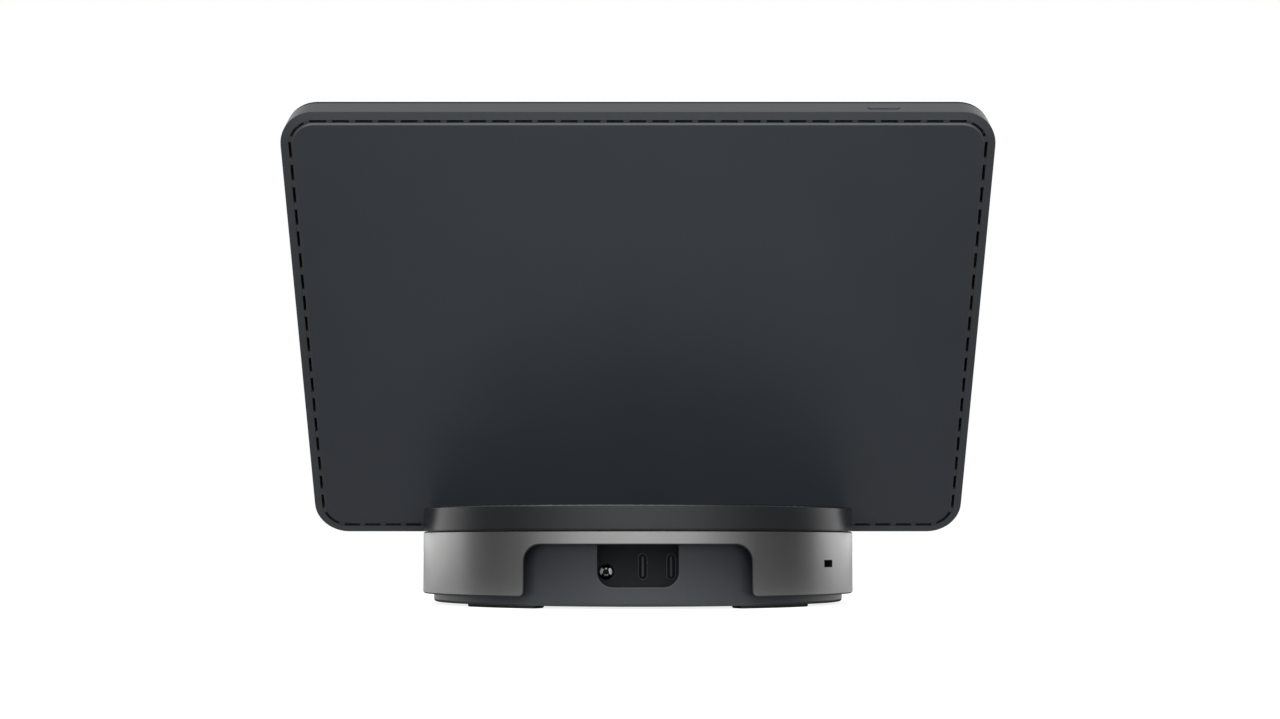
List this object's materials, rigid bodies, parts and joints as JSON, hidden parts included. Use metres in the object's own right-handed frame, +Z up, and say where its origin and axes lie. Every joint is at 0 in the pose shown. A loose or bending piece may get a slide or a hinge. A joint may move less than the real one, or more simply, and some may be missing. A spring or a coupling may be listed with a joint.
{
  "type": "smart home hub",
  "caption": "Reclined touch display on a low round swivel base, with rear ports, edge vents and a top button.",
  "frame": {"origin": "centre of the round base on the tabletop, on the swivel axis", "axes": "+Z up along the swivel axis; the screen faces -Y; the ports face +Y; +X runs along the display's width"},
  "size_m": [0.2434, 0.158, 0.1726],
  "materials": {
    "graphite_shell": "satin",
    "graphite_cover": "satin",
    "neck_graphite": "satin",
    "button_graphite": "satin",
    "cover_glass": "polished",
    "black_tape": "matte",
    "screen": "polished",
    "light_panel": "matte",
    "magnesium": "cast",
    "circuit_board": "semi-gloss",
    "tin_shield": "satin",
    "copper_spreader": "satin",
    "screw_steel": "satin",
    "dark_screw": "black oxide",
    "speaker_black": "matte",
    "antenna_foil": "satin",
    "bracket_steel": "satin",
    "swivel_steel": "turned",
    "spring_steel": "satin",
    "acetal": "matte",
    "brushed_ring": "brushed",
    "deck_black": "satin",
    "core_graphite": "satin",
    "lock_steel": "stamped",
    "insert_brass": "knurled",
    "ballast_iron": "cast",
    "harness": "matte",
    "port_steel": "satin",
    "foot_rubber": "matte"
  },
  "bodies": {
    "base": {"friction_washer": "acetal", "swivel_bush": "acetal", "bearing_plate": "bracket_steel", "bearing_screws": "screw_steel", "base_ring": "brushed_ring", "deck_plate": "deck_black", "base_core": "core_graphite", "lock_plate": "lock_steel", "port_board": "circuit_board", "clamp_screw": "dark_screw", "clamp_insert": "insert_brass", "ballast_plate": "ballast_iron", "case_screws": "screw_steel", "lower_cable": "harness", "usb_port_centre": "port_steel", "usb_port_side": "port_steel", "foot_rear_right": "foot_rubber", "foot_rear_left": "foot_rubber", "foot_front_left": "foot_rubber", "foot_front_right": "foot_rubber"},
    "head": {"rear_shell": "graphite_shell", "back_cover": "graphite_cover", "front_bezel": "graphite_shell", "touch_glass": "cover_glass", "glass_tape": "black_tape", "lcd_panel": "screen", "backlight": "light_panel", "mid_frame": "magnesium", "main_board": "circuit_board", "processor_shield": "tin_shield", "heat_spreader": "copper_spreader", "board_screws": "screw_steel", "speaker_left": "speaker_black", "speaker_right": "speaker_black", "antenna_left": "antenna_foil", "antenna_right": "antenna_foil", "microphone_board": "circuit_board", "button_switch": "tin_shield", "button_board": "circuit_board", "display_bracket": "bracket_steel", "bracket_screws": "screw_steel", "post_screws": "screw_steel", "neck_cover": "neck_graphite", "neck_floor": "neck_graphite", "swivel_post": "swivel_steel", "retaining_nut": "swivel_steel", "wave_washer": "spring_steel", "upper_cable": "harness"},
    "button": {"top_button": "button_graphite"}
  },
  "joints": [
    {"name": "display_swivel", "type": "hinge", "parent": "base", "child": "head", "pos_m": [0, 0, 0.03], "axis": [0, 0, 1], "range_deg": [-170, 170]},
    {"name": "button_press", "type": "slide", "parent": "head", "child": "button", "axis": [0, -0.5344, -0.8453], "range_m": [0, 0.0003], "stiffness_N_per_m": 2500}
  ]
}
